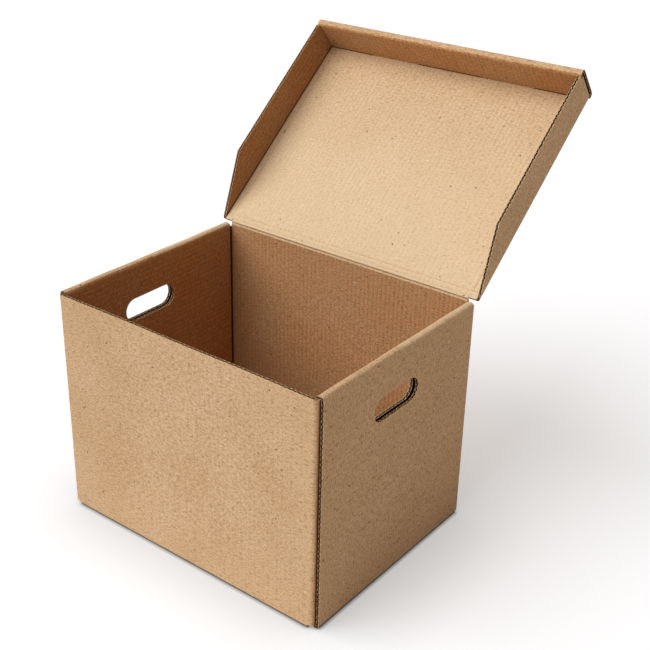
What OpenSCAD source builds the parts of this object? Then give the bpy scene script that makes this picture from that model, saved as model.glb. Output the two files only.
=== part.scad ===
// Archive box: a tray with rolled ends and a hinged lid, die-cut and folded from one sheet of
// corrugated board. Millimetres, +Z up, front towards -Y, middle of the underside at the origin.

/* [Box] */
// Outside width, end face to end face
body_w = 400; // [340:5:460]
// Outside depth, front face to back face
body_d = 304; // [250:2:360]
// Height of the rolled ends
body_h = 302; // [220:2:340]
// How far the front wall's cut edge lies below the rolled rims
front_drop = 2; // [0.5:0.5:3]

/* [Board] */
// Thickness of the corrugated board
board = 3.6; // [3:0.1:4.2]
// Air between plies that lie against each other
ply_gap = 0.2; // [0.15:0.05:0.4]
// Inside radius of the folds round a panel
fold_r = 1.6; // [1:0.2:2.4]
// Inside radius of the upright corner folds
corner_r = 1.2; // [0.8:0.2:2.4]
// Inside radius of the two bends in a rolled rim
roll_r = 1; // [0.6:0.1:1.2]
// Slack all round a locking tab in its slot
slot_slack = 0.3; // [0.2:0.1:0.6]

/* [Ends] */
// How far the ends' outer plies stop short of the front and back faces, so that the corner folds show
end_inset = 6.5; // [4:0.5:8]
// Length of the front and back walls' corner flaps, trapped inside the ends
flap_len = 80; // [50:5:90]
// Height of the hollow left in a rim above a corner flap
flap_drop = 3; // [2:0.5:6]
// Gap between an inner ply's lower edge and the panel that its tabs go through
ply_lift = 1.2; // [0.6:0.2:2]
// Width of the tabs that lock the inner end plies into the base
end_tab_w = 60; // [30:5:80]
// Distance between the middles of the two tabs of an end
end_tab_pitch = 150; // [110:5:160]

/* [Hand holes] */
// Length of a hand hole
hand_l = 86; // [70:2:110]
// Height of a hand hole
hand_h = 31; // [24:1:40]
// Top of the rim down to the middle of the hand hole
hand_drop = 63; // [50:1:90]
// How far the hand holes lie in front of the middle
hand_front = 10; // [0:1:15]

/* [Lid] */
// Height of the lid's front wall and side flaps
lid_h = 51; // [40:1:70]
// Air between the closed lid and the tray's outer faces
lid_clear = 1; // [0.6:0.1:2]
// Length of the slanted cut at the hinge end of a side flap
lid_slant = 80; // [50:2:110]
// Length of the side flaps' corner tabs, trapped in the front wall
lid_flap_len = 60; // [30:5:80]
// Width of the tabs that lock the front wall's inner ply into the lid
lid_tab_w = 77; // [40:1:90]
// Distance between the middles of the two tabs
lid_tab_pitch = 178; // [150:2:200]

/* [Hinge] */
// Angle of the lid from closed, as it stands open
lid_angle = 140; // [95:1:200]
// Widest angle of the lid from closed
lid_stop = 220; // [205:1:225]
// Radius of the bead along the crease
crease_r = 1.5; // [1:0.1:1.7]
// Air round the bead
crease_gap = 0.3; // [0.2:0.05:0.4]
// Air between the closed lid and the rims that carry it
lid_seat = 0.3; // [0.2:0.1:0.6]

/* [Hidden] */
$fn = 48;
fold_out = fold_r + board;
corner_out = corner_r + board;
roll_out = roll_r + board;
wall = 3 * board + 2 * ply_gap;
foot = wall - board - slot_slack - fold_out;
bite = board / 4;
lap = wall - board + bite;
end_half = body_d / 2 - end_inset;
wall_half = body_w / 2 - wall - ply_gap;
inner_half = min(end_half, body_d / 2 - corner_out - ply_gap);
hinge_y = body_d / 2 - board / 2;
hinge_z = body_h + lid_seat + board / 2;
crease_half = (270 - lid_stop) / 2 - 1;
crease_len = board / 2 / tan(crease_half);
lid_half = body_w / 2 + lid_clear + board;
lid_front = hinge_y + body_d / 2 + lid_clear + wall;
lid_inner_half = lid_half - corner_out - ply_gap;
kraft = [0.76, 0.60, 0.41];
kraft_lid = [0.80, 0.65, 0.46];

// Draws a flat section (across, up) and runs it along X
module along_x(from, to) {
    translate([from, 0, 0])
        rotate([90, 0, 90])
            linear_extrude(height = to - from)
                children();
}

// A bend of the board seen edge on, centred on the origin, in the -X -Y quarter
module bend(inner) {
    intersection() {
        difference() {
            circle(r = inner + board);
            circle(r = inner);
        }
        translate([-inner - board, -inner - board])
            square(inner + board);
    }
}

// Edge-on view of a panel's rim, the fold and the ply that stands up from it
module standing_ply(height) {
    translate([fold_out, 0])
        square([foot, board]);
    translate([fold_out, fold_out])
        bend(fold_r);
    translate([0, fold_out])
        square([board, height - fold_out]);
}

// Edge-on view of a rolled rim: the board bends twice over the top of the wall and turns down into
// the inner ply
module rim(height) {
    translate([roll_out, height - roll_out])
        mirror([0, 1])
            bend(roll_r);
    translate([roll_out, height - board])
        square([wall - 2 * roll_out, board]);
    translate([wall - roll_out, height - roll_out])
        rotate(180)
            bend(roll_r);
    translate([wall - board, height - roll_out - bite])
        square([board, bite]);
}

// A wall rolled over at the top, with its inner ply tabbed into the panel that it stands on
module rolled_wall(height, half, inner_half, tab_w, tab_pitch) {
    along_x(-half, half) {
        standing_ply(height - roll_out);
        rim(height);
    }
    along_x(-inner_half, inner_half)
        translate([wall - board, board + ply_lift])
            square([board, height - roll_out - board - ply_lift]);
    for (side = [-1, 1])
        translate([side * tab_pitch / 2 - tab_w / 2, wall - board, slot_slack])
            cube([tab_w, board, board + ply_lift]);
}

// The slots for those tabs, cut through the panel
module tab_slots(tab_w, tab_pitch) {
    for (side = [-1, 1])
        translate([side * tab_pitch / 2 - tab_w / 2 - slot_slack, wall - board - slot_slack, -bite])
            cube([tab_w + 2 * slot_slack, board + 2 * slot_slack, board + 2 * bite]);
}

// An upright corner from above: outer faces on the axes, one leg along X and one along Y
module corner_plan(leg_x, leg_y) {
    translate([corner_out, corner_out])
        bend(corner_r);
    translate([corner_out, 0])
        square([leg_x - corner_out, board]);
    translate([0, corner_out])
        square([board, leg_y - corner_out]);
}

// The same corner at its height, above the folds and below the rim
module corner(leg_x, leg_y, height) {
    translate([0, 0, fold_out + ply_gap])
        linear_extrude(height = height - fold_out - ply_gap - board - flap_drop)
            corner_plan(leg_x, leg_y);
}

// Places a rolled wall on the tray's left end, and its twin on the right
module at_ends() {
    for (turn = [0, 1])
        mirror([turn, 0, 0])
            translate([-body_w / 2, 0, 0])
                rotate([0, 0, -90])
                    children();
}

module tray_base() {
    translate([-body_w / 2 + fold_out, -body_d / 2 + fold_out, 0])
        cube([body_w - 2 * fold_out, body_d - 2 * fold_out, board]);
}

module tray_ends() {
    at_ends()
        rolled_wall(body_h, end_half, inner_half, end_tab_w, end_tab_pitch);
}

module tray_front() {
    translate([0, -body_d / 2, 0])
        along_x(-wall_half, wall_half)
            standing_ply(body_h - front_drop);
}

// The back wall thins to the crease, with a round seat for the lid's bead
module tray_back() {
    translate([0, body_d / 2, 0])
        mirror([0, 1, 0])
            along_x(-wall_half, wall_half) {
                standing_ply(hinge_z - crease_len);
                difference() {
                    polygon([[0, hinge_z - crease_len], [board, hinge_z - crease_len], [board / 2, hinge_z]]);
                    translate([board / 2, hinge_z])
                        circle(r = crease_r + crease_gap);
                }
            }
}

// Front and back walls turn the corners into flaps between the plies of the ends
module tray_corners() {
    for (turn = [0, 1], back = [0, 1])
        mirror([turn, 0, 0])
            mirror([0, back, 0])
                translate([-body_w / 2 + board + ply_gap, -body_d / 2, 0])
                    corner(lap, flap_len, body_h);
    for (turn = [0, 1])
        mirror([turn, 0, 0])
            translate([-body_w / 2 + board + ply_gap, -body_d / 2, body_h / 2])
                front_fold_top();
}

// In front of the rims the front corner folds keep the front wall's full height
module front_fold_top() {
    linear_extrude(height = body_h / 2 - front_drop)
        intersection() {
            corner_plan(lap, flap_len);
            square([lap, end_inset - ply_gap]);
        }
}

module hand_holes() {
    along_x(-body_w / 2 - bite, body_w / 2 + bite)
        translate([-hand_front, body_h - hand_drop]) {
            square([hand_l - hand_h, hand_h], center = true);
            for (side = [-1, 1])
                translate([side * (hand_l - hand_h) / 2, 0])
                    circle(d = hand_h);
        }
}

module tray() {
    color(kraft)
        difference() {
            union() {
                difference() {
                    tray_base();
                    at_ends()
                        tab_slots(end_tab_w, end_tab_pitch);
                }
                tray_ends();
                tray_front();
                tray_back();
                tray_corners();
            }
            hand_holes();
        }
}

// The lid lies inside up here, as if folded right back, with the hinge along X
module lid_panel() {
    difference() {
        translate([-lid_half + fold_out, 0, 0])
            cube([2 * (lid_half - fold_out), lid_front - fold_out, board]);
        translate([-wall_half - crease_gap, -bite, -bite])
            cube([2 * (wall_half + crease_gap), crease_len + bite, board + 2 * bite]);
    }
    along_x(-wall_half, wall_half) {
        polygon([[0, board / 2], [crease_len, 0], [crease_len + bite, 0], [crease_len + bite, board],
            [crease_len, board]]);
        translate([0, board / 2])
            circle(r = crease_r);
    }
}

// A side flap, cut on the slant towards the hinge
module lid_side() {
    front = lid_front - wall - ply_gap;
    difference() {
        translate([-lid_half, front / 2, 0])
            rotate([0, 0, -90])
                along_x(-front / 2, front / 2)
                    standing_ply(lid_h);
        translate([-lid_half - bite, 0, 0])
            along_x(0, fold_out + foot + bite)
                polygon([[-bite, board], [0, board], [lid_slant, lid_h], [lid_slant, lid_h + bite],
                    [-bite, lid_h + bite]]);
    }
    translate([-lid_half, lid_front - board - ply_gap, 0])
        mirror([0, 1, 0])
            corner(lid_flap_len, lap, lid_h);
}

module at_lid_front() {
    translate([0, lid_front, 0])
        rotate([0, 0, 180])
            children();
}

module lid_flat() {
    difference() {
        lid_panel();
        at_lid_front()
            tab_slots(lid_tab_w, lid_tab_pitch);
    }
    for (turn = [0, 1])
        mirror([turn, 0, 0])
            lid_side();
    at_lid_front()
        rolled_wall(lid_h, lid_half, lid_inner_half, lid_tab_w, lid_tab_pitch);
}

module lid() {
    color(kraft_lid)
        translate([0, hinge_y, hinge_z])
            rotate([180 - lid_angle, 0, 0])
                translate([0, 0, -board / 2])
                    lid_flat();
}

tray();
lid();
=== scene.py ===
import bpy
import math
import numpy as np
from mathutils import Matrix, Vector


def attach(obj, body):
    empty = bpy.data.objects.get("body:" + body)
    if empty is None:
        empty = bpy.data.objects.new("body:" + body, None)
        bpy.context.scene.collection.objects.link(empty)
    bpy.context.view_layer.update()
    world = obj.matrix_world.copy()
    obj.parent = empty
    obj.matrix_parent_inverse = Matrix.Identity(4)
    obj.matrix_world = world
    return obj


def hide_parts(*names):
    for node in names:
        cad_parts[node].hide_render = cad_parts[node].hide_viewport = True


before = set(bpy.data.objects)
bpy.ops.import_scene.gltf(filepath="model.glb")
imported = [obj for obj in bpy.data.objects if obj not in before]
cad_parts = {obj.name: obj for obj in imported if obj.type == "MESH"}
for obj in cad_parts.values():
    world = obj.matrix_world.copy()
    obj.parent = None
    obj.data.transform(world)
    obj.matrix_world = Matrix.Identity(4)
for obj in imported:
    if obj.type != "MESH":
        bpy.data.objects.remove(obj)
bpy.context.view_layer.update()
print("frame loaded")

# one sheet of kraft corrugated board, in millimetres like every size below
board = {"thick": 3.6, "liner": 0.3, "outerLiner": 0.36, "medium": 0.36, "pitch": 6.6, "depth": 7.0,
         "gap": 0.2, "lift": 1.2, "flapDrop": 3.0, "foldIn": 1.6, "cornerIn": 1.2, "rollIn": 1.0, "slack": 0.3}
half = board["thick"] / 2
foldOut = board["foldIn"] + board["thick"]
cornerOut = board["cornerIn"] + board["thick"]
rollOut = board["rollIn"] + board["thick"]
wall = 3 * board["thick"] + 2 * board["gap"]  # outer ply, trapped flap and inner ply
flapTop = board["thick"] + board["flapDrop"]  # a trapped flap's edge lies this far under the rim
foot = wall - board["thick"] - board["slack"] - foldOut  # from a fold's start to the tab slots

tray = {"width": 400.0, "depth": 304.0, "height": 302.0, "frontDrop": 2.0, "flap": 80.0, "inset": 6.5,
        "tabWidth": 60.0, "tabPitch": 150.0, "slit": 0.9}
hole = {"length": 86.0, "height": 31.0, "y": -10.0, "z": 239.0, "marginUp": 12.0, "marginAcross": 11.7}
lid = {"height": 51.0, "clear": 1.0, "slant": 80.0, "flap": 60.0, "tabWidth": 77.0, "tabPitch": 178.0,
       "open": 140.0, "seat": 0.3, "score": 8.0, "groove": 5.4, "scoreDepth": 0.6, "scoreWidth": 0.8}
crease = {"radius": 1.5, "gap": 0.3, "bead": 1.7, "wedge": 24.0, "nose": 0.9}
# how far the panels give way
bow = {"ends": 0.9, "endTops": 0.35, "walls": 1.1, "frontTop": 0.5, "rims": 0.28, "lid": 1.1}

endX = tray["width"] / 2
frontY = tray["depth"] / 2
straightX = endX - wall - board["gap"]  # the straight part of the front and back walls
outerY = frontY - tray["inset"]  # half the outer end ply
innerY = min(outerY, frontY - cornerOut - board["gap"])  # half the inner end ply
hingeY = frontY - half
hingeZ = tray["height"] + lid["seat"] + half
creaseRun = half / math.tan(math.radians(crease["wedge"]))
lidX = endX + lid["clear"] + board["thick"]
lidFront = hingeY + frontY + lid["clear"] + wall
lidInnerX = lidX - cornerOut - board["gap"]


def foldLine(start, heading, runs):
    # the board's middle line seen edge on: straight runs (length,) and bends (radius, turn in degrees), end
    # to end. returns the lengths at which runs end and a function of the length along the line, giving
    # points and left normals
    ends, pieces = [0.0], []
    point, angle = np.array(start, float), math.radians(heading)
    for run in runs:
        pieces.append((point.copy(), angle, run))
        if len(run) == 1:
            point = point + run[0] * np.array([math.cos(angle), math.sin(angle)])
            ends.append(ends[-1] + run[0])
        else:
            turn = math.radians(run[1])
            side = math.copysign(1.0, turn)
            centre = point + side * run[0] * np.array([-math.sin(angle), math.cos(angle)])
            angle += turn
            point = centre - side * run[0] * np.array([-math.sin(angle), math.cos(angle)])
            ends.append(ends[-1] + abs(turn) * run[0])

    def at(s):
        # on a straight run the point moves along the heading; on a bend it turns about the bend's centre
        s = np.asarray(s, float)
        points, normals = np.zeros(s.shape + (2,)), np.zeros(s.shape + (2,))
        for number, (origin, aim, run) in enumerate(pieces):
            low = s >= ends[number] - 1e-9 if number else np.ones(s.shape, bool)
            high = s <= ends[number + 1] if number < len(pieces) - 1 else np.ones(s.shape, bool)
            mask = low & high
            along = s[mask] - ends[number]
            if len(run) == 1:
                points[mask] = origin + along[:, None] * np.array([math.cos(aim), math.sin(aim)])
                normals[mask] = np.array([-math.sin(aim), math.cos(aim)])
            else:
                side = math.copysign(1.0, run[1])
                middle = origin + side * run[0] * np.array([-math.sin(aim), math.cos(aim)])
                now = aim + side * along / run[0]
                normals[mask] = np.stack([-np.sin(now), np.cos(now)], -1)
                points[mask] = middle - side * run[0] * normals[mask]
        return points, normals

    return ends, at


def steps(ends, spacing=14.0, bend=9):
    # lengths at which a line is sampled: evenly on straight runs, closer on bends
    out = []
    for low, high in zip(ends[:-1], ends[1:]):
        count = bend if high - low < 9 else max(1, round((high - low) / spacing))
        out.append(np.linspace(low, high, count + 1))
    return np.unique(np.round(np.concatenate(out), 6))


def block(sList, wList):
    # a rectangle of the sheet as a grid in the sheet's own two lengths: s along the folded line, w across it
    return np.stack(np.meshgrid(sList, wList, indexing="ij"), -1)


def within(values, low, high):
    return values[(values >= low - 1e-6) & (values <= high + 1e-6)]


def holeBlock(sList, wList, centre, length, height, rings=4):
    # the ring of board round a slot hole: each point on the rectangle's edge is joined to the nearest point
    # of the hole's outline, which lies one radius from the line between the centres of its two round ends
    s, w = np.asarray(sList), np.asarray(wList)
    left, right = (np.stack([np.full(len(w), end), w], -1) for end in (s[0], s[-1]))
    near, far = (np.stack([s, np.full(len(s), end)], -1) for end in (w[0], w[-1]))
    edge = np.concatenate([left[:-1], far[:-1], right[:0:-1], near[::-1]])
    radius = height / 2
    core = np.stack([np.full(len(edge), centre[0]),
                     np.clip(edge[:, 1], centre[1] - length / 2 + radius,
                             centre[1] + length / 2 - radius)], -1)
    away = edge - core
    inner = core + radius * away / np.linalg.norm(away, axis=1, keepdims=True)
    share = np.linspace(0, 1, rings + 1)[:, None, None]
    return edge[None] * (1 - share) + inner[None] * share


def weld(grids):
    # joins grids that share edge points into one list of points and one list of four-sided faces
    points, faces, base = [], [], 0
    for grid in grids:
        rows, columns = grid.shape[:2]
        number = np.arange(rows * columns).reshape(rows, columns) + base
        faces.append(np.stack([number[:-1, :-1], number[1:, :-1], number[1:, 1:], number[:-1, 1:]],
                              -1).reshape(-1, 4))
        points.append(grid.reshape(-1, 2))
        base += rows * columns
    points, faces = np.concatenate(points), np.concatenate(faces)
    _, first, back = np.unique(np.round(points, 3), axis=0, return_index=True, return_inverse=True)
    return points[first], back.reshape(-1)[faces]


def thicken(middle, normal, faces, top, bottom):
    # a closed skin: the faces at the top offset, the same faces turned over at the bottom offset, and a
    # strip of quads along every edge that belongs to one face only
    a, b, c = (middle[faces[:, k]] for k in (0, 1, 2))
    facing = np.einsum("ij,ij->i", np.cross(b - a, c - b), normal[faces[:, 0]])
    faces = np.where(facing[:, None] < 0, faces[:, ::-1], faces)
    edges = np.stack([faces, np.roll(faces, -1, 1)], -1).reshape(-1, 2)
    key = np.sort(edges, 1)
    _, back, count = np.unique(key, axis=0, return_inverse=True, return_counts=True)
    rim = edges[count[back.reshape(-1)] == 1]
    total = len(middle)
    side = np.stack([rim[:, 1], rim[:, 0], rim[:, 0] + total, rim[:, 1] + total], -1)
    points = np.concatenate([middle + normal * top[:, None], middle + normal * bottom[:, None]])
    return points, np.concatenate([faces, faces[:, ::-1] + total, side])


def boardSkins(grids, lay, thin=None, dent=None, dark=1e9, hollow=1e9, lengthwise=False):
    # the board's two liners; thin(s) scales the thickness where a score has crushed it, and dent(s, w)
    # presses the inner liner towards the middle. past the lengths dark and hollow the outer and the inner
    # face lie in the dark between two plies and, like each liner's face towards the flutes, get the painted
    # shade material; cut faces show pale paper. the UV map is first across the flutes, then along them:
    # lengthwise means that the flutes follow each other along the folded line
    flat, faces = weld(grids)
    middle, normal = lay(flat[:, 0], flat[:, 1])
    scale = np.ones(len(flat)) if thin is None else thin(flat[:, 0])
    press = 0 if dent is None else dent(flat[:, 0], flat[:, 1])
    # where a score has crushed the board, the liners close up on each other
    crushed = np.clip((1 - scale) * 2.5, 0, 0.98)
    skin, outerSkin = (board[liner] + (half * scale - board[liner]) * crushed
                       for liner in ("liner", "outerLiner"))
    uv = np.concatenate([flat, flat]) if lengthwise else np.concatenate([flat, flat])[:, ::-1]
    shells = []
    for top, bottom, wash in ((half * scale, half * scale - outerSkin, 0.3),
                              (-half * scale + skin + press, -half * scale + press, 1.0)):
        points, quads = thicken(middle, normal, faces, top, bottom)
        sheet = np.arange(len(quads)) // len(faces)
        inside, outside, limit = (1, 0, dark) if wash < 1 else (0, 1, hollow)
        # painted shade: each liner's face towards the flutes, and its other face past the limit, get the dark
        # material
        paintedDark = sheet == inside
        paintedDark[sheet == outside] = flat[faces, 0].min(1) > limit - 0.01
        cut = sheet > 1
        shells.append((points, quads, uv, np.where(paintedDark, 2, np.where(cut, 1, 0)), wash))
    return shells


def flutedEdge(lay, path, inward, closed=False):
    # the wavy medium seen at a cut edge: a ribbon that runs in from the edge, lifted off the middle of the
    # board by a sine of the length along the edge
    run = np.concatenate([[0.0], np.cumsum(np.linalg.norm(np.diff(path, axis=0), axis=1))])
    waves = max(1, round(run[-1] / board["pitch"])) if closed else run[-1] / board["pitch"]
    depth = np.array([0.04, 0.3, board["depth"]])
    flat = path[:, None] + inward[:, None] * depth[None, :, None]
    reach = half - board["liner"] - board["medium"] / 2 + 0.06
    lift = np.repeat(reach * np.sin(2 * np.pi * waves * run / run[-1]), 3)
    number = np.arange(len(path) * 3).reshape(-1, 3)
    if closed:
        flat, lift, number = flat[:-1], lift[:-3], np.concatenate([number[:-1], number[:1]])
    middle, normal = lay(flat[..., 0].reshape(-1), flat[..., 1].reshape(-1))
    middle = middle + normal * lift[:, None]
    faces = np.concatenate([np.stack([number[:-1, k], number[1:, k],
                                      number[1:, k + 1], number[:-1, k + 1]], -1)
                            for k in (0, 1)])
    ones = np.full(len(middle), board["medium"] / 2)
    points, quads = thicken(middle, normal, faces, ones, -ones)
    # painted shade: the ribbon's faces deeper than 0.3 millimetres into the board get the dark material of the
    # flutes' inside
    kinds = np.ones(len(quads), int)
    deep = np.arange(2 * len(faces)) % len(faces) >= len(faces) // 2
    kinds[:2 * len(faces)] = np.where(deep, 2, 1)
    uv = flat.reshape(-1, 2)
    return points, quads, np.concatenate([uv, uv]), kinds, 0.0


def straightEdge(lay, start, end, inward):
    # a fluted edge along a straight cut
    start, end, inward = (np.array(p, float) for p in (start, end, inward))
    count = max(4, int(np.linalg.norm(end - start) / board["pitch"] * 10))
    share = np.linspace(0, 1, count + 1)[:, None]
    path = start + (end - start) * share
    return flutedEdge(lay, path, np.broadcast_to(inward / np.linalg.norm(inward), path.shape))


def holeEdge(lay, centre, length, height):
    # the fluted edge all round a slot hole: straight, half round, straight, half round
    radius, straight = height / 2, length - height
    total = 2 * straight + 2 * np.pi * radius
    q = np.linspace(0, total, int(total / board["pitch"] * 10) + 1)
    arc = np.pi * radius
    parts = [q < straight, (q >= straight) & (q < straight + arc),
             (q >= straight + arc) & (q < 2 * straight + arc), q >= 2 * straight + arc]
    turn = np.select(parts, [0 * q, (q - straight) / radius,
                             np.pi + 0 * q, np.pi + (q - 2 * straight - arc) / radius])
    slide = np.select(parts, [q - straight / 2, straight / 2 + 0 * q,
                              1.5 * straight + arc - q, -straight / 2 + 0 * q])
    outward = np.stack([np.cos(turn), np.sin(turn)], -1)
    path = np.array(centre) + np.stack([0 * slide, slide], -1) + radius * outward
    return flutedEdge(lay, path, outward, closed=True)


def makePiece(name, shells, tone, place, materials):
    # puts all shells of a piece into one mesh, with a UV map in metres across and along the flutes, and two
    # point attributes: the strength of the washboard, and the tone of painted light and shade, which is -1
    # where painted light makes the paper pale, 0 where plain, 1 where painted shade makes it brown and 2 in the
    # painted shade between plies
    points, faces, uvs, kinds, wash, base = [], [], [], [], [], 0
    for shell, quads, uv, kind, strength in shells:
        points.append(shell)
        faces.append(quads + base)
        uvs.append(uv)
        kinds.append(np.broadcast_to(kind, len(quads)))
        wash.append(np.full(len(shell), strength))
        base += len(shell)
    points, faces, uvs = np.concatenate(points), np.concatenate(faces), np.concatenate(uvs) / 1000
    tones = tone(points)
    points = place(points) / 1000
    mesh = bpy.data.meshes.new(name)
    mesh.from_pydata(points.tolist(), [], faces.tolist())
    mesh.uv_layers.new(name="boardPlane")
    loops = np.empty(len(mesh.loops), np.int32)
    mesh.loops.foreach_get("vertex_index", loops)
    mesh.uv_layers["boardPlane"].data.foreach_set("uv", uvs[loops].astype(np.float32).ravel())
    wash = np.where((tones > 0.5) & (tones < 1.5), 1.0, np.concatenate(wash))
    mesh.attributes.new("washboard", "FLOAT", "POINT").data.foreach_set("value", wash.astype(np.float32))
    mesh.attributes.new("tone", "FLOAT", "POINT").data.foreach_set("value", tones.astype(np.float32))
    mesh.polygons.foreach_set("material_index", np.concatenate(kinds).astype(np.int32))
    for material in materials:
        mesh.materials.append(material)
    mesh.shade_smooth()
    mesh.set_sharp_from_angle(angle=math.radians(38))
    mesh.update()
    piece = bpy.data.objects.new(name, mesh)
    bpy.context.scene.collection.objects.link(piece)
    print(name, len(mesh.vertices), "points", len(mesh.polygons), "faces")
    return piece


def slotSpans(piece):
    # where the two tabs of a rolled wall lie along it, and the slots round them
    tabs = [(side * piece["tabPitch"] / 2 - piece["tabWidth"] / 2,
             side * piece["tabPitch"] / 2 + piece["tabWidth"] / 2)
            for side in (-1, 1)]
    return tabs, [(low - board["slack"], high + board["slack"]) for low, high in tabs]


def trayEnds():
    # section from the base's edge: fold, outer ply, rim and inner ply
    roll = (board["rollIn"] + half, -90)
    ends, line = foldLine((foldOut + foot, half), 180,
                          [(foot,), (board["foldIn"] + half, -90), (tray["height"] - rollOut - foldOut,),
                           roll, (wall - 2 * rollOut,), roll,
                           (tray["height"] - rollOut - board["thick"] - board["lift"],)])
    tabs, slots = slotSpans(tray)
    outerHole = ends[2] + hole["z"] - foldOut
    innerHole = ends[6] + tray["height"] - rollOut - hole["z"]
    reachS, reachW = hole["height"] / 2 + hole["marginUp"], hole["length"] / 2 + hole["marginAcross"]
    holeW = (hole["y"] - reachW, hole["y"] + reachW)
    across = np.unique(np.round(np.concatenate([
        [-outerY, outerY, tray["slit"] - innerY, innerY - tray["slit"]], np.linspace(-innerY, holeW[0], 7),
        np.linspace(holeW[0], holeW[1], 29), np.linspace(holeW[1], innerY, 9), np.ravel(tabs)]), 4))
    holeSpan = lambda middle: np.linspace(middle - reachS, middle + reachS, 15)
    run = lambda low, high: np.unique(np.round(np.concatenate([within(steps(ends), low, high),
                                                               [low, high]]), 4))
    inner = within(across, -innerY, innerY)
    grids = [block(run(0, outerHole - reachS), across), block(run(outerHole + reachS, ends[6]), across),
             block(run(ends[6], innerHole - reachS), inner), block(run(innerHole + reachS, ends[7]), inner)]
    for middle, lists in ((outerHole, across), (innerHole, inner)):
        grids.append(block(holeSpan(middle), within(lists, -outerY, holeW[0])))
        grids.append(block(holeSpan(middle), within(lists, holeW[1], outerY)))
        grids.append(holeBlock(holeSpan(middle), within(lists, *holeW), (middle, hole["y"]), hole["length"],
                               hole["height"]))
    for low, high in tabs:
        tabEnd = ends[7] + board["thick"] + board["lift"] - board["slack"]
        grids.append(block([ends[7], tabEnd], within(across, low, high)))
    shells = []
    for side in (-1, 1):
        def lay(s, w, side=side):
            (a, z), n = line(s)[0].T, line(s)[1]
            return np.stack([side * (endX - a), w, z], -1), np.stack([-side * n[:, 0], 0 * w, n[:, 1]], -1)
        shells += boardSkins(grids, lay, hollow=ends[2], lengthwise=True)
        for end in (-1, 1):
            shells += [straightEdge(lay, (0, end * outerY), (ends[6], end * outerY), (0, -end)),
                       straightEdge(lay, (ends[6], end * innerY), (ends[7], end * innerY), (0, -end))]
        shells += [holeEdge(lay, (middle, hole["y"]), hole["length"], hole["height"])
                   for middle in (outerHole, innerHole)]
    return shells


def trayBody():
    # section from the front wall's cut edge down, along the base and up the back wall to the crease
    bend = (board["foldIn"] + half, 90)
    ends, line = foldLine((-frontY + half, tray["height"] - tray["frontDrop"]), -90,
                          [(tray["height"] - tray["frontDrop"] - foldOut,), bend,
                           (2 * frontY - 2 * foldOut,), bend,
                           (hingeZ - creaseRun - foldOut,), (creaseRun - crease["radius"] - crease["gap"],)])
    seat = endX - foldOut - foot
    slots = slotSpans(tray)[1]
    across = np.sort(np.concatenate([np.linspace(-straightX, straightX, 27),
                                     [-seat, tray["slit"] - straightX, straightX - tray["slit"], seat]]))
    middle = (ends[2] + ends[3]) / 2
    cuts = [ends[2]] + [middle + y for pair in slots for y in pair] + [ends[3]]
    along = np.unique(np.round(np.concatenate([steps(ends), cuts, [ends[5] - 0.4]]), 4))
    grids = [block(along, within(across, -straightX, straightX))]
    for low, high in ((cuts[0], cuts[1]), (cuts[2], cuts[3]), (cuts[4], cuts[5])):
        grids += [block(within(along, low, high), [-seat, -straightX]),
                  block(within(along, low, high), [straightX, seat])]

    def lay(s, w):
        (y, z), n = line(s)[0].T, -line(s)[1]
        return np.stack([w, y, z], -1), np.stack([0 * w, n[:, 0], n[:, 1]], -1)
    thin = lambda s: 1 - np.clip(s - ends[5], 0, None) / creaseRun
    return boardSkins(grids, lay, thin) + [straightEdge(lay, (0, -straightX), (0, straightX), (1, 0))]


def trayCorners():
    # the front and back walls turn the corners and run on between the plies of the ends; in front of the
    # rims the front folds keep the wall's full height
    ends, line = foldLine((-straightX, -frontY + half), 180,
                          [(endX - board["thick"] - board["gap"] - cornerOut - straightX,),
                           (board["cornerIn"] + half, -90),
                           (tray["flap"] - cornerOut,)])
    bottom, flapEdge, wallEdge = (foldOut + board["gap"], tray["height"] - flapTop,
                                  tray["height"] - tray["frontDrop"])
    shown = ends[2] + tray["inset"] - board["gap"] - cornerOut
    trapped = ends[2] + 0.4  # from here on the end's outer ply shades the flap
    s = np.unique(np.round(np.append(steps(ends), [shown, trapped]), 4))
    shells = []
    for sideX in (-1, 1):
        for sideY in (-1, 1):
            def lay(s, w, sideX=sideX, sideY=sideY):
                (x, y), n = line(s)[0].T, line(s)[1]
                return (np.stack([-sideX * x, -sideY * y, w], -1),
                        np.stack([-sideX * n[:, 0], -sideY * n[:, 1], 0 * w], -1))
            grids = [block(s, np.linspace(bottom, flapEdge, 22))]
            start = 0
            if sideY < 0:
                grids.append(block(within(s, 0, shown), [flapEdge, wallEdge]))
                shells.append(straightEdge(lay, (0, wallEdge), (shown, wallEdge), (0, -1)))
                start = shown
            # painted shade: past trapped the flap's outer face gets the dark material, also on the narrow strip
            # still seen in front of the end's outer ply
            shells += boardSkins(grids, lay, dark=trapped, lengthwise=True)
            shells.append(straightEdge(lay, (start, flapEdge), (ends[3], flapEdge), (0, -1)))
            shells.append(straightEdge(lay, (0, bottom), (ends[2], bottom), (0, 1)))
    return shells


# tones of painted light and shade on the tray
trayTones = {"inside": 1.0, "insideWalls": 0.7, "endFaces": 0.2, "cornerStrip": 2.0, "slit": 2.0,
             "crushed": -0.5}


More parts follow.
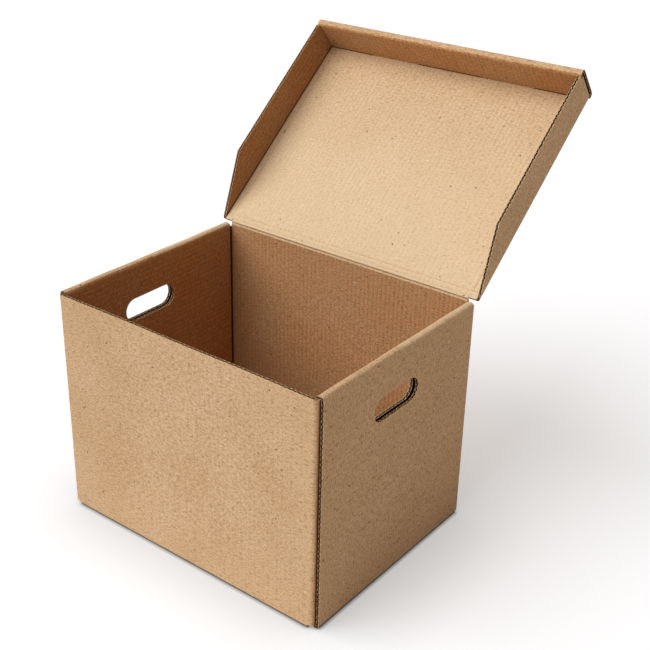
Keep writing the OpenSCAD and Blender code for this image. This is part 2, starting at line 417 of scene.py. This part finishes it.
def trayTone(points):
    # painted light and shade: kraft walls that face each other are painted browner, standing in for the light
    # that bounces between them more often than the few bounces rendered; the two ends' outer faces are painted
    # a little browner than the front as well, matched to the end that stands in shade
    x, y, z = points.T
    facing = (np.abs(x) < endX - wall + half) & (np.abs(y) < frontY - half) & (z > half)
    ends = np.abs(x) > endX - half
    # painted highlight: the crease's strip on the back wall is drawn pale, for its stretched paper and for the
    # bright band of light along the crease
    crushed = (y > 0) & (z > hingeZ - creaseRun - 0.2)  # pale where the crease has stretched it
    frontAndBack = np.abs(y) > frontY - board["thick"] - 1
    tone = np.where(ends, trayTones["endFaces"], 0.0)
    tone = np.where(facing, np.where(frontAndBack, trayTones["insideWalls"], trayTones["inside"]), tone)
    # painted shade: the corner folds are painted browner, then darker, towards the end plies' cut edges, where
    # they lie recessed, and the slits in the inside corners are painted darkest
    strip = (np.abs(x) > endX - wall + board["thick"]) & (np.abs(x) < endX - board["thick"] - 0.1)
    strip &= np.abs(y) > outerY - 0.6
    tone = np.where(strip, trayTones["cornerStrip"] * np.clip((frontY - 1.5 - np.abs(y)) / 3, 0, 1), tone)
    slit = (np.abs(x) > straightX - 0.1) & (np.abs(x) < endX - wall + board["thick"] + 0.1)
    slit &= (np.abs(y) > innerY - 0.1) & (np.abs(y) < frontY - half)
    slit &= (z > board["thick"] + 2) & (z < tray["height"] - 1)
    return np.where(crushed, trayTones["crushed"], np.where(slit, trayTones["slit"], tone))


def settleTray(points):
    # the standing box is not quite flat: its walls bow in by up to a millimetre between the corners, and
    # never out
    x, y, z = points.T
    height = np.clip(z / tray["height"], 0, 1)
    endShare = np.clip((np.abs(x) - 170) / 15, 0, 1)
    wallShare = np.clip((np.abs(y) - 125) / 15, 0, 1)
    belly = np.sin(np.pi * height) * 0.7 + 0.3 * (1 - np.abs(2 * height - 1))
    inX = endShare * (1 - (y / frontY) ** 2) * (bow["ends"] * belly + bow["endTops"] * height)
    inY = wallShare * (1 - (x / endX) ** 2) * (bow["walls"] * belly
                                               + np.where(y < 0, bow["frontTop"], 0.0) * height)
    # the rims rise and fall in slow waves, which die out towards the crease
    waves = 1 - np.cos(2 * np.pi * (x / 173 + y / 97))
    dip = bow["rims"] * height ** 6 * waves * np.clip((140 - y) / 25, 0, 1)
    return np.stack([x - np.sign(x) * inX, y - np.sign(y) * inY, z - dip], -1)


def lidPanelAndFront():
    # section from the crease along the panel, up the front wall, over its rim and back down to the panel
    rise = (board["foldIn"] + half, 90)
    roll = (board["rollIn"] + half, 90)
    nose = crease["nose"]  # the panel starts this far from the hinge's axis, inside the bead
    ends, line = foldLine((nose, half), 0,
                          [(creaseRun - nose,), (lidFront - foldOut - creaseRun,), rise,
                           (lid["height"] - rollOut - foldOut,), roll, (wall - 2 * rollOut,), roll,
                           (lid["height"] - rollOut - board["thick"] - board["lift"],)])
    slotNear = lidFront - wall - nose - board["slack"]
    slotFar = lidFront - wall - nose + board["thick"] + board["slack"]
    tabs, slots = slotSpans(lid)
    panelX = lidX - foldOut
    scored = panelX - lid["score"]  # a second score runs beside each side fold
    marks = np.ravel([[side * (scored + d) for d in (-2.4, -1.2, -0.6, 0, 0.6, 1.2, 2.4)]
                      for side in (-1, 1)])
    edges = [side * x for side in (-1, 1) for x in (lidX, panelX, lidInnerX, straightX)]
    across = np.unique(np.round(np.concatenate([edges, np.linspace(-185, 185, 27), marks, np.ravel(tabs),
                                                np.ravel(slots)]), 4))
    groove = [ends[1] + lid["groove"] + d for d in (-2.9, -1.4, -0.6, 0, 0.6, 1.4, 3.1)]
    along = np.unique(np.round(np.concatenate([steps(ends), groove, [slotNear - 1.0]]), 4))
    run = lambda low, high: np.unique(np.round(np.concatenate([within(along, low, high), [low, high]]), 4))
    panel = within(across, -panelX, panelX)
    grids = [block(run(0, ends[1]), within(across, -straightX, straightX)),
             block(run(ends[1], slotNear), panel),
             block([slotFar, ends[2]], across), block(run(ends[2], ends[7]), across),
             block(run(ends[7], ends[8]), within(across, -lidInnerX, lidInnerX))]
    for low, high in ((-panelX, slots[0][0]), (slots[0][1], slots[1][0]), (slots[1][1], panelX)):
        grids.append(block([slotNear, slotFar], within(across, low, high)))
    for low, high in tabs:
        tabEnd = ends[8] + board["thick"] + board["lift"] - board["slack"]
        grids.append(block([ends[8], tabEnd], within(across, low, high)))

    def lay(s, w):
        (d, h), n = line(s)[0].T, -line(s)[1]
        return np.stack([w, d, h], -1), np.stack([0 * w, n[:, 0], n[:, 1]], -1)
    thin = lambda s: np.clip((s + nose) / creaseRun, 0.1, 1)
    # each score is a groove with a bell-shaped section; the one beside the crease is shallower

    def dent(s, w):
        besideFolds = np.exp(-((np.abs(w) - scored) / lid["scoreWidth"]) ** 2)
        besideCrease = 0.7 * np.exp(-((s - ends[1] - lid["groove"]) / lid["scoreWidth"]) ** 2)
        return lid["scoreDepth"] * np.where((s > ends[1]) & (s < slotFar),
                                            np.maximum(besideFolds, besideCrease), 0)
    shells = boardSkins(grids, lay, thin, dent, hollow=ends[3])
    for side in (-1, 1):
        near, far = side * (straightX + board["slack"]), side * panelX
        shells += boardSkins([block([-nose, ends[1]], np.sort([near, far]))], lay)
        shells += [straightEdge(lay, (-nose, near), (-nose, far), (1, 0)),
                   straightEdge(lay, (slotFar, side * lidX), (ends[7], side * lidX), (0, -side)),
                   straightEdge(lay, (ends[7], side * lidInnerX), (ends[8], side * lidInnerX), (0, -side))]
    return shells


def lidSides():
    # a side flap stands on the panel's edge; its end is cut on the slant towards the hinge
    ends, line = foldLine((foldOut, half), 180, [(board["foldIn"] + half, -90), (lid["height"] - foldOut,)])
    far = lidFront - wall - board["gap"]
    near = lambda h: np.clip((h - board["thick"]) / (lid["height"] - board["thick"]), 0, 1) * lid["slant"]
    s = steps(ends)
    share = np.linspace(0, 1, 24) ** 1.3
    low = near(line(s)[0][:, 1])
    grid = np.stack([np.repeat(s[:, None], 24, 1), low[:, None] + share[None] * (far - low[:, None])], -1)
    # under the corner flap the fold alone runs on to the front wall's foot
    foldFar = lidFront - foldOut - foot - board["gap"]
    grids = [grid, block(within(s, 0, ends[1]), [far, foldFar])]
    shells = []
    for side in (-1, 1):
        def lay(s, w, side=side):
            (a, h), n = line(s)[0].T, line(s)[1]
            return np.stack([side * (lidX - a), w, h], -1), np.stack([-side * n[:, 0], 0 * w, n[:, 1]], -1)
        shells += boardSkins(grids, lay, lengthwise=True)
        shells += [straightEdge(lay, (ends[2], near(lid["height"])), (ends[2], far), (-1, 0)),
                   straightEdge(lay, (0, 0), (ends[1], near(foldOut)), (0, 1)),
                   straightEdge(lay, (ends[1], near(foldOut)), (ends[2], near(lid["height"])),
                                (-lid["slant"], lid["height"] - board["thick"]))]
    return shells


def lidCorners():
    # the side flaps turn the corners and run on between the plies of the front wall
    turn = lidFront - board["thick"] - board["gap"] - cornerOut
    start = lidFront - wall - board["gap"]
    ends, line = foldLine((-lidX + half, start), 90,
                          [(turn - start,), (board["cornerIn"] + half, -90), (lid["flap"] - cornerOut,)])
    grids = [block(steps(ends), np.linspace(foldOut + board["gap"], lid["height"] - flapTop, 6))]
    shells = []
    for side in (-1, 1):
        def lay(s, w, side=side):
            (x, d), n = line(s)[0].T, line(s)[1]
            return np.stack([-side * x, d, w], -1), np.stack([-side * n[:, 0], n[:, 1], 0 * w], -1)
        shells += boardSkins(grids, lay)
        shells.append(straightEdge(lay, (0, lid["height"] - flapTop), (ends[3], lid["height"] - flapTop),
                                   (0, -1)))
    return shells


def lidBead():
    # the bead along the crease: a rod about the hinge's axis, slightly uneven where the score has crushed
    # the board
    x, turn = np.linspace(-straightX, straightX, 160), np.linspace(0, 2 * np.pi, 17)[:-1]
    swell = crease["bead"] * (0.97 + 0.03 * np.sin(x / 7.3) * np.cos(x / 19.1))
    ring = np.stack([np.repeat(x[:, None], 16, 1), swell[:, None] * np.cos(turn),
                     half + swell[:, None] * np.sin(turn)], -1)
    number = np.arange(160 * 16).reshape(160, 16)
    step = np.roll(number, -1, 1)
    faces = np.stack([number[:-1], step[:-1], step[1:], number[1:]], -1).reshape(-1, 4)
    near, far = number[0], number[-1]
    caps = np.stack([np.stack([near[0], near[k + 2], near[k + 1], near[k]]) for k in range(1, 14, 2)]
                    + [np.stack([far[0], far[k], far[k + 1], far[k + 2]]) for k in range(1, 14, 2)])
    uv = np.stack([ring[..., 1], ring[..., 0]], -1).reshape(-1, 2)
    return [(ring.reshape(-1, 3), np.concatenate([faces, caps]), uv, 0, 0.0)]


# tones of painted light and shade on the lid
lidTones = {"hingeEnd": -1.0, "frontEnd": -0.1, "flaps": 1.2, "front": 0.95, "outside": 0.1, "bead": -1.0,
            "groove": 0.1, "score": 0.3, "valley": 2.0}


def lidTone(points):
    # painted light and shade: the panel's inner face, turned to the light, is painted palest, most so near
    # the hinge; the faces round it are painted browner for the light bounced between them, the flaps a little
    # darker still, and the valleys at their feet are painted darkest shade, except where the front wall's tabs
    # run on into the panel
    x, d, h = points.T
    facing = (h > board["thick"] + 0.5) & (np.abs(x) < lidX - half) & (d < lidFront - wall + half)
    panel = (h > half) & (h < board["thick"] + 0.5) & (np.abs(x) < lidX - foldOut + 1)
    sideValley = np.abs(np.hypot(np.abs(x) - lidX + foldOut, h - foldOut) - board["foldIn"]) < 0.4
    sideValley &= (np.abs(x) > lidX - foldOut + 0.5) & (h < foldOut - 0.5)
    frontValley = ((h > half) & (h < board["thick"] + 0.2)
                   & (d > lidFront - wall - 0.6) & (d < lidFront - wall + 4))
    frontValley &= np.abs(np.abs(x) - lid["tabPitch"] / 2) > lid["tabWidth"] / 2 - 0.1
    flaps = facing & (np.abs(x) > lidX - board["thick"] - 1)
    along = np.clip(d / lidFront, 0, 1) ** 2
    tone = np.where(panel, lidTones["hingeEnd"] + (lidTones["frontEnd"] - lidTones["hingeEnd"]) * along,
                    lidTones["outside"])
    tone = np.where(flaps, lidTones["flaps"], np.where(facing, lidTones["front"], tone))
    # painted highlight: the bead is drawn pale, for its stretched paper and for the bright band of light it
    # catches
    tone = np.where((np.abs(d) < 2) & (np.abs(h - half) < 1.6), lidTones["bead"], tone)
    tone = np.where(panel & (np.abs(d - creaseRun - lid["groove"]) < 0.3), lidTones["groove"], tone)
    tone = np.where(panel & (np.abs(np.abs(x) - lidX + foldOut + lid["score"]) < 0.2),
                    lidTones["score"], tone)
    return np.where(sideValley | frontValley, lidTones["valley"], tone)


def settleLid(points):
    # the panel sags a little between its folds, then the lid is turned up to where it stands open
    x, d, h = points.T
    sag = (bow["lid"] * (1 - (x / lidX) ** 2) * np.sin(np.pi * np.clip(d / lidFront, 0, 1))
           * np.clip(1 - h / 20, 0, 1))
    h = h + sag - half
    turn = math.radians(180 - lid["open"])
    return np.stack([x, hingeY + d * math.cos(turn) - h * math.sin(turn),
                     hingeZ + d * math.sin(turn) + h * math.cos(turn)], -1)


def linear(code):
    # an sRGB hex colour as the linear colour Blender works with
    channels = [int(code[k:k + 2], 16) / 255 for k in (1, 3, 5)]
    return [c / 12.92 if c <= 0.04045 else ((c + 0.055) / 1.055) ** 2.4 for c in channels] + [1.0]


def addNode(tree, kind, inputs, **settings):
    # one node with its own settings; each named socket takes a constant or another node's output
    made = tree.nodes.new(kind)
    for name, value in settings.items():
        setattr(made, name, value)
    for socket, value in inputs.items():
        if isinstance(value, bpy.types.NodeSocket):
            tree.links.new(value, made.inputs[socket])
        else:
            made.inputs[socket].default_value = value
    return made


def newMaterial(name, roughness, gloss):
    material = bpy.data.materials.new(name)
    material.use_nodes = True
    shader = material.node_tree.nodes["Principled BSDF"]
    shader.inputs["Roughness"].default_value = roughness
    shader.inputs["Specular IOR Level"].default_value = gloss
    return material, material.node_tree, shader


# pale, brown and shade are colours of painted light and shade, blended in by the tone
kraft = {"base": "#D0B18F", "pale": "#DEC8A8", "brown": "#C57D38", "shade": "#46220C", "cloud": "#BD9A72",
         "dark": "#8F6C48", "light": "#E6D0B0", "speck": "#432A16", "fleck": "#F2E3C8", "roughness": 0.84,
         "gloss": 0.25}


def kraftLiner():
    # unbleached kraft liner: the eye sees a dull tan with cloudy fibre, brown specks, pale slivers of wood,
    # and faint ribs where the flutes show through the paper, strongest on the side that faces the contents.
    # real fibre is finer than the render shows, so the mottle is drawn one to two millimetres coarse
    material, tree, shader = newMaterial("kraft liner paper", kraft["roughness"], kraft["gloss"])
    place = addNode(tree, "ShaderNodeTexCoord", {}).outputs["Object"]
    plane = addNode(tree, "ShaderNodeUVMap", {}, uv_map="boardPlane").outputs[0]
    strength = addNode(tree, "ShaderNodeAttribute", {}, attribute_name="washboard").outputs["Fac"]
    tone = addNode(tree, "ShaderNodeAttribute", {}, attribute_name="tone").outputs["Fac"]
    noises = [{"Scale": 12, "Detail": 3, "Roughness": 0.55}, {"Scale": 560, "Detail": 4, "Roughness": 0.75},
              {"Scale": 1100, "Detail": 1, "Roughness": 0.5}]
    cloud, mottle, grain = (addNode(tree, "ShaderNodeTexNoise", {"Vector": place, **noise}).outputs[0]
                            for noise in noises)
    drawn = addNode(tree, "ShaderNodeMapping", {"Vector": plane, "Scale": (150, 620, 1)}).outputs[0]
    fibre = addNode(tree, "ShaderNodeTexNoise",
                    {"Vector": drawn, "Scale": 1, "Detail": 2, "Roughness": 0.6}).outputs[0]

    def blendIn(colour, share, code):
        # mixes a written colour into the colour so far
        return addNode(tree, "ShaderNodeMix", {0: share, 6: colour, 7: linear(code)},
                       data_type="RGBA").outputs[2]

    def ramp(value, low, high, top):
        # rises from nothing at low to top at high, and stays there
        return addNode(tree, "ShaderNodeMapRange", {0: value, 1: low, 2: high, 3: 0.0, 4: top}).outputs[0]
    # painted light and shade: the tone blends the base towards brown where faces lie in shade and light bounces
    # between kraft walls, and towards pale where painted light falls
    colour = blendIn(linear(kraft["base"]), ramp(tone, 0.0, 1.0, 0.85), kraft["brown"])
    colour = blendIn(colour, ramp(tone, 0.0, -1.0, 0.85), kraft["pale"])
    patches = addNode(tree, "ShaderNodeMapRange", {0: tone, 1: -1.0, 2: 0.0, 3: 0.12, 4: 0.5}).outputs[0]
    colour = blendIn(colour, ramp(cloud, 0.35, 0.68, patches), kraft["cloud"])
    # painted shade: where the tone is browner the dark fibre is drawn stronger and the light fibre and pale
    # slivers weaker, standing in for raking light that brings out dark fibre on shaded faces and shade that
    # hides the pale
    contrast = addNode(tree, "ShaderNodeMapRange", {0: tone, 1: -1.0, 2: 1.0, 3: 0.4, 4: 1.7}).outputs[0]
    paleFibre = addNode(tree, "ShaderNodeMapRange", {0: tone, 1: 0.0, 2: 1.0, 3: 0.75, 4: 0.4}).outputs[0]
    colour = blendIn(colour, ramp(mottle, 0.5, 0.74, contrast), kraft["dark"])
    colour = blendIn(colour, ramp(mottle, 0.48, 0.28, paleFibre), kraft["light"])
    colour = blendIn(colour, ramp(fibre, 0.52, 0.78, contrast), kraft["dark"])
    # brown specks: the middles of a few cells, drawn about two millimetres wide, twice their real size
    cells = addNode(tree, "ShaderNodeTexVoronoi", {"Vector": place, "Scale": 120})
    pick = addNode(tree, "ShaderNodeSeparateColor", {0: cells.outputs["Color"]}).outputs[0]
    middles = ramp(cells.outputs["Distance"], 0.16, 0.10, 0.9)
    few = ramp(pick, 0.88, 0.93, 1.0)
    speck = addNode(tree, "ShaderNodeMath", {0: few, 1: middles}, operation="MULTIPLY").outputs[0]
    colour = blendIn(colour, speck, kraft["speck"])
    # pale slivers: cells drawn out along the paper's machine direction, which lies across the flutes
    long = addNode(tree, "ShaderNodeMapping", {"Vector": plane, "Scale": (60, 160, 1)}).outputs[0]
    slivers = addNode(tree, "ShaderNodeTexVoronoi", {"Vector": long, "Scale": 1})
    pick = addNode(tree, "ShaderNodeSeparateColor", {0: slivers.outputs["Color"]}).outputs[1]
    middles = ramp(slivers.outputs["Distance"], 0.19, 0.09, 0.8)
    few = ramp(pick, 0.93, 0.97, 1.0)
    fleck = addNode(tree, "ShaderNodeMath", {0: few, 1: middles}, operation="MULTIPLY").outputs[0]
    fleck = addNode(tree, "ShaderNodeMath", {0: fleck, 1: paleFibre}, operation="MULTIPLY").outputs[0]
    colour = blendIn(colour, fleck, kraft["fleck"])
    # the ribs: a sine of the length across the flutes, one rib to each flute, fading in and out over the
    # sheet
    across = addNode(tree, "ShaderNodeSeparateXYZ", {0: plane}).outputs[0]
    turns = 2000 * math.pi / board["pitch"]
    phase = addNode(tree, "ShaderNodeMath", {0: across, 1: turns}, operation="MULTIPLY").outputs[0]
    rib = addNode(tree, "ShaderNodeMath", {0: phase}, operation="SINE").outputs[0]
    fade = addNode(tree, "ShaderNodeMapRange", {0: cloud, 1: 0.25, 2: 0.6, 3: 1.0, 4: 0.45}).outputs[0]
    rib = addNode(tree, "ShaderNodeMath", {0: rib, 1: fade}, operation="MULTIPLY").outputs[0]
    rib = addNode(tree, "ShaderNodeMath", {0: rib, 1: strength}, operation="MULTIPLY").outputs[0]
    ribs = addNode(tree, "ShaderNodeMapRange", {0: tone, 1: -1.0, 2: 1.0, 3: 0.1, 4: 0.5}).outputs[0]
    colour = blendIn(colour, ramp(rib, 0.0, -1.0, ribs), kraft["dark"])
    # painted shade: a tone above 1 darkens the paper towards the shade colour in recesses, slits and valleys
    colour = blendIn(colour, ramp(tone, 1.0, 2.0, 0.9), kraft["shade"])
    tree.links.new(colour, shader.inputs["Base Color"])
    height = addNode(tree, "ShaderNodeMath", {0: rib, 1: 0.09}, operation="MULTIPLY").outputs[0]
    height = addNode(tree, "ShaderNodeMath", {0: mottle, 1: 0.16, 2: height},
                     operation="MULTIPLY_ADD").outputs[0]
    height = addNode(tree, "ShaderNodeMath", {0: grain, 1: 0.06, 2: height},
                     operation="MULTIPLY_ADD").outputs[0]
    bump = addNode(tree, "ShaderNodeBump", {"Strength": 1.0, "Distance": 0.001, "Height": height}).outputs[0]
    tree.links.new(bump, shader.inputs["Normal"])
    return material


# deep and deepest are the colours of the painted shade inside the flutes
flute = {"base": "#F0D2AA", "dark": "#BC8958", "deep": "#451806", "deepest": "#290E03", "roughness": 0.93,
         "gloss": 0.12}


def flutedMedium(name, base, dark):
    # cut paper, the fluting between the liners and the liners' own edges: rough and absorbent without a
    # shine, seen only as thin pale lines; made a second time in soot-brown colours as painted shade where it
    # runs in between the liners
    material, tree, shader = newMaterial(name, flute["roughness"], flute["gloss"])
    place = addNode(tree, "ShaderNodeTexCoord", {}).outputs["Object"]
    noise = {"Vector": place, "Scale": 300, "Detail": 3, "Roughness": 0.6}
    mottle = addNode(tree, "ShaderNodeTexNoise", noise).outputs[0]
    share = addNode(tree, "ShaderNodeMapRange", {0: mottle, 1: 0.35, 2: 0.75, 3: 0.0, 4: 0.8}).outputs[0]
    colour = addNode(tree, "ShaderNodeMix", {0: share, 6: linear(base), 7: linear(dark)},
                     data_type="RGBA").outputs[2]
    tree.links.new(colour, shader.inputs["Base Color"])
    bump = addNode(tree, "ShaderNodeBump", {"Strength": 0.6, "Distance": 0.0004, "Height": mottle}).outputs[0]
    tree.links.new(bump, shader.inputs["Normal"])
    return material


# the order is that of the faces' material numbers: the liners, cut paper, and painted shade for what lies in
# the dark between
papers = [kraftLiner(), flutedMedium("fluted medium paper", flute["base"], flute["dark"]),
          flutedMedium("painted shade inside the flutes", flute["deep"], flute["deepest"])]
print("materials made")

trayBoard = makePiece("trayBoard", trayEnds() + trayBody() + trayCorners(), trayTone, settleTray, papers)
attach(trayBoard, "tray")
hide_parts("tray")

lidBoard = makePiece("lidBoard", lidPanelAndFront() + lidSides() + lidCorners() + lidBead(), lidTone, settleLid,
                     papers)
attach(lidBoard, "lid")
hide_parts("lid")
print("board folded")

floor = {"colour": "#ECEBE8", "tooth": "#D8D6D2", "seen": "#C8CCD4", "lift": 0.47, "contact": 0.12,
         "line": 0.006, "size": 30.0}


def floorMaterial():
    # matt white studio paper: it lights the box from below as white paper does, while the camera sees a
    # greyer one lifted by a plain glow, which comes out white with the box's soft shadow left in it, and with a
    # painted contact shadow close round the box
    material, tree, shader = newMaterial("matt studio paper", 0.9, 0.1)
    place = addNode(tree, "ShaderNodeTexCoord", {}).outputs["Object"]
    tooth = addNode(tree, "ShaderNodeTexNoise", {"Vector": place, "Scale": 400, "Detail": 2}).outputs[0]
    share = addNode(tree, "ShaderNodeMapRange", {0: tooth, 1: 0.3, 2: 0.7, 3: 0.0, 4: 0.03}).outputs[0]
    colour = addNode(tree, "ShaderNodeMix", {0: share, 6: linear(floor["colour"]), 7: linear(floor["tooth"])},
                     data_type="RGBA").outputs[2]
    rays = addNode(tree, "ShaderNodeLightPath", {})
    # painted shadow: for the camera, ambient occlusion darkens the floor's colour within the contact distance
    # of the box
    seen = addNode(tree, "ShaderNodeAmbientOcclusion",
                   {"Color": linear(floor["seen"]), "Distance": floor["contact"]})
    colour = addNode(tree, "ShaderNodeMix", {0: rays.outputs["Is Camera Ray"], 6: colour,
                                             7: seen.outputs["Color"]}, data_type="RGBA").outputs[2]
    tree.links.new(colour, shader.inputs["Base Color"])
    # painted shadow: the glow goes out within a few millimetres of the box, which leaves a painted thin dark
    # line where it stands
    clear = addNode(tree, "ShaderNodeAmbientOcclusion", {"Distance": floor["line"]}).outputs["AO"]
    glow = addNode(tree, "ShaderNodeMapRange",
                   {0: clear, 1: 0.3, 2: 0.95, 3: 0.0, 4: floor["lift"]}).outputs[0]
    glow = addNode(tree, "ShaderNodeMath", {0: rays.outputs["Is Camera Ray"], 1: glow},
                   operation="MULTIPLY").outputs[0]
    shader.inputs["Emission Color"].default_value = linear("#FFFFFF")
    tree.links.new(glow, shader.inputs["Emission Strength"])
    return material


reach = floor["size"] / 2
floorMesh = bpy.data.meshes.new("floor")
floorMesh.from_pydata([(-reach, -reach, 0), (reach, -reach, 0), (reach, reach, 0), (-reach, reach, 0)], [],
                      [(0, 1, 2, 3)])
floorMesh.materials.append(floorMaterial())
floorObject = bpy.data.objects.new("floor", floorMesh)
bpy.context.scene.collection.objects.link(floorObject)

# one broad soft light from the upper left front, as a sun with a wide disc, so that the floor is lit evenly,
# and a warmer fill from all sides
studio = {"key": 2.9, "keyColour": "#FFFDF8", "spread": 62.0, "aim": (0.38, 0.52, -0.765), "fill": 0.29,
          "fillColour": "#FFEBD8"}
key = bpy.data.lights.new("key", "SUN")
key.energy, key.angle = studio["key"], math.radians(studio["spread"])
key.color = linear(studio["keyColour"])[:3]
keyLamp = bpy.data.objects.new("key", key)
keyLamp.rotation_euler = Vector(studio["aim"]).to_track_quat("-Z", "Y").to_euler()
bpy.context.scene.collection.objects.link(keyLamp)

world = bpy.data.worlds.new("studio")
bpy.context.scene.world = world
world.use_nodes = True
worldTree = world.node_tree
background = worldTree.nodes["Background"]
tint = addNode(worldTree, "ShaderNodeMix", {6: linear(studio["fillColour"]), 7: linear("#FFFFFF")},
               data_type="RGBA")
worldTree.links.new(tint.outputs[2], background.inputs["Color"])
worldRays = addNode(worldTree, "ShaderNodeLightPath", {})
direct = addNode(worldTree, "ShaderNodeMath", {0: worldRays.outputs["Is Camera Ray"],
                                               1: worldRays.outputs["Is Glossy Ray"]},
                 operation="MAXIMUM").outputs[0]
direct = addNode(worldTree, "ShaderNodeMath", {0: direct, 1: worldRays.outputs["Is Transmission Ray"]},
                 operation="MAXIMUM").outputs[0]
glow = addNode(worldTree, "ShaderNodeMapRange",
               {0: direct, 1: 0.0, 2: 1.0, 3: studio["fill"], 4: 1.0}).outputs[0]
worldTree.links.new(direct, tint.inputs[0])
worldTree.links.new(glow, background.inputs["Strength"])
print("studio lit")

# the camera stands front right and above, as measured from the photo, with its horizon tipped a degree and a
# half
view = {"place": (0.8208, -0.9667, 0.9036), "turn": 37.15, "down": 26.74, "roll": 1.41, "lens": 65.1}
turn, down, roll = (math.radians(view[name]) for name in ("turn", "down", "roll"))
forward = Vector((-math.sin(turn) * math.cos(down), math.cos(turn) * math.cos(down), -math.sin(down)))
level = forward.cross(Vector((0, 0, 1))).normalized()
upright = level.cross(forward)
right = level * math.cos(roll) + upright * math.sin(roll)
up = upright * math.cos(roll) - level * math.sin(roll)
cameraData = bpy.data.cameras.new("camera")
cameraData.sensor_width, cameraData.lens = 36.0, view["lens"]
camera = bpy.data.objects.new("camera", cameraData)
camera.matrix_world = Matrix((right, up, -forward)).transposed().to_4x4()
camera.location = view["place"]
bpy.context.scene.collection.objects.link(camera)
bpy.context.scene.camera = camera
bpy.context.scene.view_settings.view_transform = "Standard"

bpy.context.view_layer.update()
